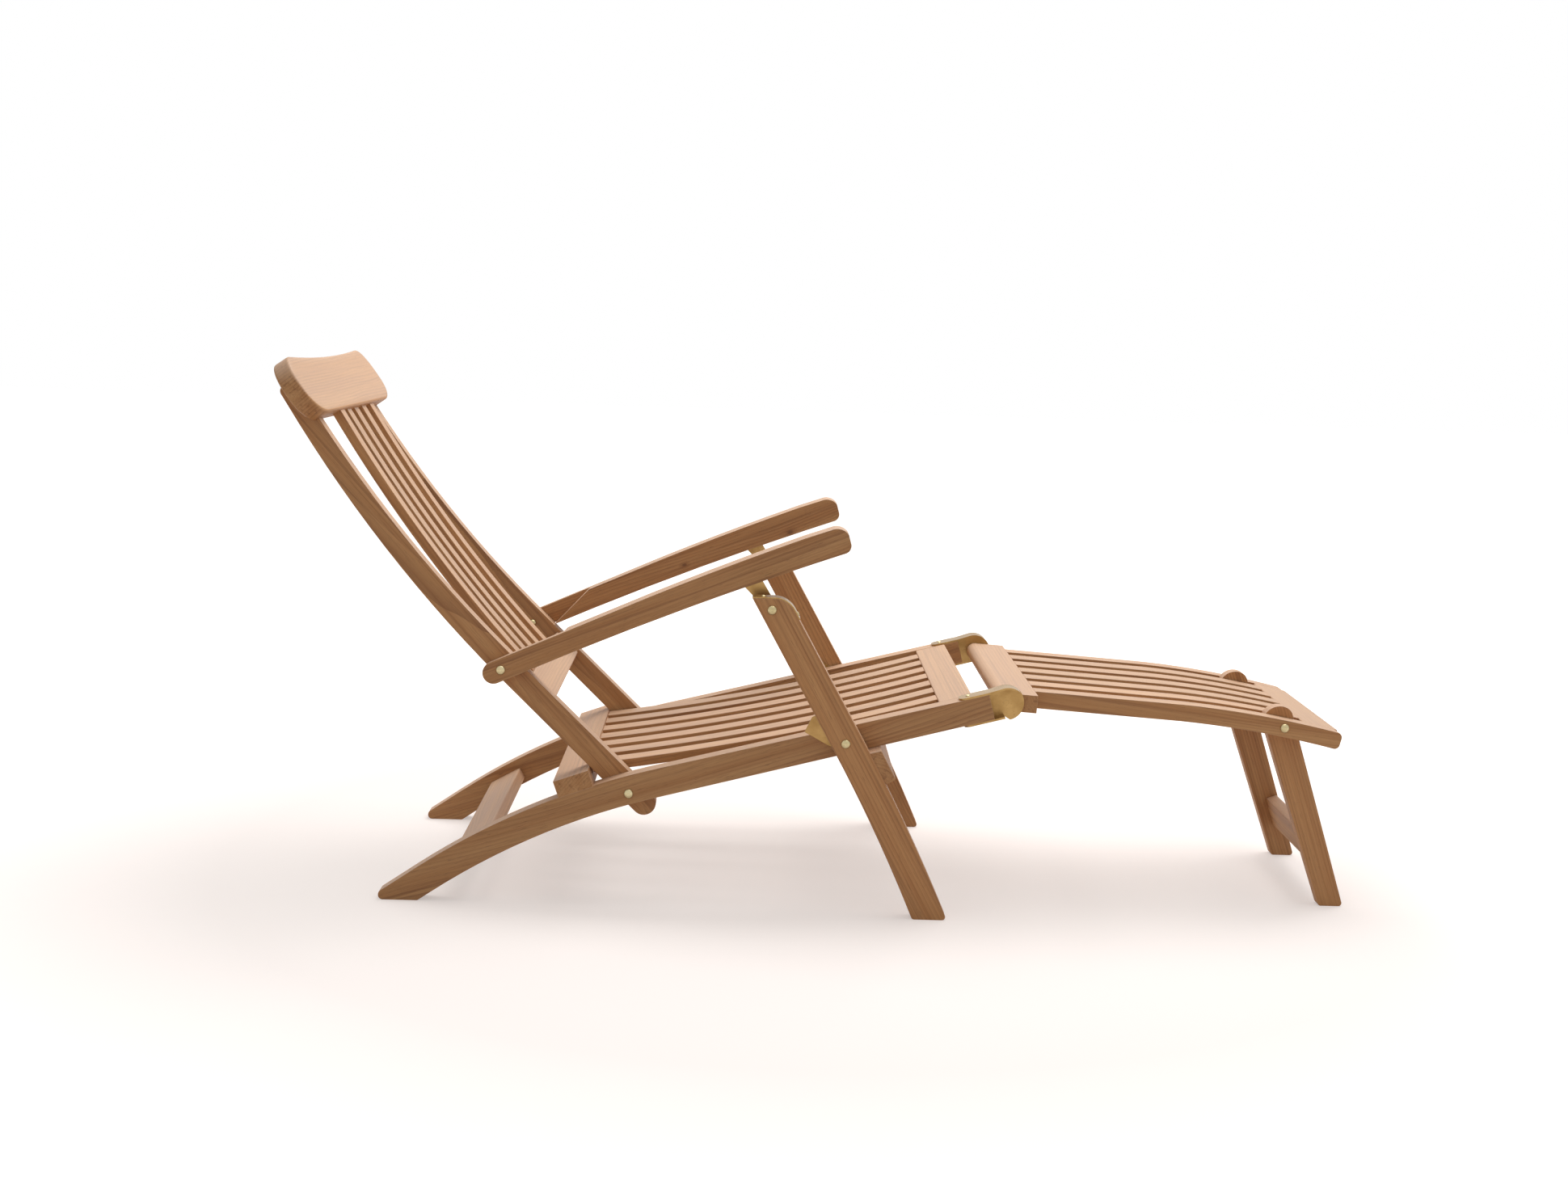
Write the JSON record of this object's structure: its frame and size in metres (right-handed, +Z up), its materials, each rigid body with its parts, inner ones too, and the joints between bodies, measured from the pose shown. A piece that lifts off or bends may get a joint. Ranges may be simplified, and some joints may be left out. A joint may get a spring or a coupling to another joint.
{
  "type": "folding steamer deck chair",
  "caption": "Folding steamer deck chair in bare teak with slatted seat, back and leg rest, curved arms, a dished headrest and brass fold fittings.",
  "frame": {"origin": "on the floor under the middle of the chair's length and width, opened out", "axes": "+X towards the foot end, +Y to the sitter's left, +Z up"},
  "size_m": [1.6413, 0.6088, 0.8094],
  "materials": {
    "teak": "bare sanded teak, satin",
    "brass": "brushed, slightly dulled brass"
  },
  "bodies": {
    "seat_frame": {"back_pivot_bolts": "brass", "front_seat_crossrail": "teak", "knee_bracket_left": "brass", "knee_bracket_right": "brass", "knee_bracket_screws": "brass", "knee_pins": "brass", "leg_pivot_bolts": "brass", "rear_leg_stretcher": "teak", "rear_seat_crossrail": "teak", "seat_slat_1": "teak", "seat_slat_2": "teak", "seat_slat_3": "teak", "seat_slat_4": "teak", "seat_slat_5": "teak", "seat_slat_6": "teak", "seat_slat_7": "teak", "side_rail_left": "teak", "side_rail_right": "teak", "stop_plate_left": "brass", "stop_plate_right": "brass"},
    "backrest": {"arm_pivot_bolts": "brass", "back_lower_crossrail": "teak", "back_slat_1": "teak", "back_slat_2": "teak", "back_slat_3": "teak", "back_slat_4": "teak", "back_slat_5": "teak", "back_stile_left": "teak", "back_stile_right": "teak", "headrest": "teak"},
    "arm_right": {"arm_rack_right": "brass", "arm_right": "teak"},
    "arm_left": {"arm_left": "teak", "arm_rack_left": "brass"},
    "front_legs": {"arm_catch_left": "brass", "arm_catch_right": "brass", "catch_bolts": "brass", "front_leg_left": "teak", "front_leg_right": "teak", "front_leg_stretcher": "teak", "leg_top_strap_left": "brass", "leg_top_strap_right": "brass", "strap_screws": "brass"},
    "leg_rest": {"legrest_end_bar": "teak", "legrest_knee_bar": "teak", "legrest_rail_left": "teak", "legrest_rail_right": "teak", "legrest_slat_1": "teak", "legrest_slat_2": "teak", "legrest_slat_3": "teak", "legrest_slat_4": "teak", "legrest_slat_5": "teak", "rest_leg_pivot_bolts": "brass"},
    "leg_rest_legs": {"legrest_leg_left": "teak", "legrest_leg_right": "teak", "legrest_leg_stretcher": "teak"}
  },
  "joints": [
    {"name": "back_fold", "type": "hinge", "parent": "seat_frame", "child": "backrest", "pos_m": [-0.29033, 0, 0.17292], "axis": [0, 1, 0], "range_deg": [0, 95]},
    {"name": "arm_fold_right", "type": "hinge", "parent": "backrest", "child": "arm_right", "pos_m": [-0.48534, 0, 0.3529], "axis": [0, 1, 0], "range_deg": [-85.5, 0]},
    {"name": "arm_fold_left", "type": "hinge", "parent": "backrest", "child": "arm_left", "pos_m": [-0.48534, 0, 0.3529], "axis": [0, 1, 0], "range_deg": [-85.5, 0]},
    {"name": "front_leg_fold", "type": "hinge", "parent": "seat_frame", "child": "front_legs", "pos_m": [0.0309, 0, 0.2646], "axis": [0, 1, 0], "range_deg": [0, 92.15]},
    {"name": "leg_rest_fold", "type": "hinge", "parent": "seat_frame", "child": "leg_rest", "pos_m": [0.27307, 0, 0.32283], "axis": [0, 1, 0], "range_deg": [-70, 0]},
    {"name": "leg_rest_leg_fold", "type": "hinge", "parent": "leg_rest", "child": "leg_rest_legs", "pos_m": [0.70713, 0, 0.28688], "axis": [0, 1, 0], "range_deg": [0, 105]}
  ],
  "couplings": [
    {"joint": "arm_fold_right", "follows": "back_fold", "ratio": -0.9},
    {"joint": "arm_fold_left", "follows": "back_fold", "ratio": -0.9},
    {"joint": "front_leg_fold", "follows": "back_fold", "ratio": 0.97}
  ]
}
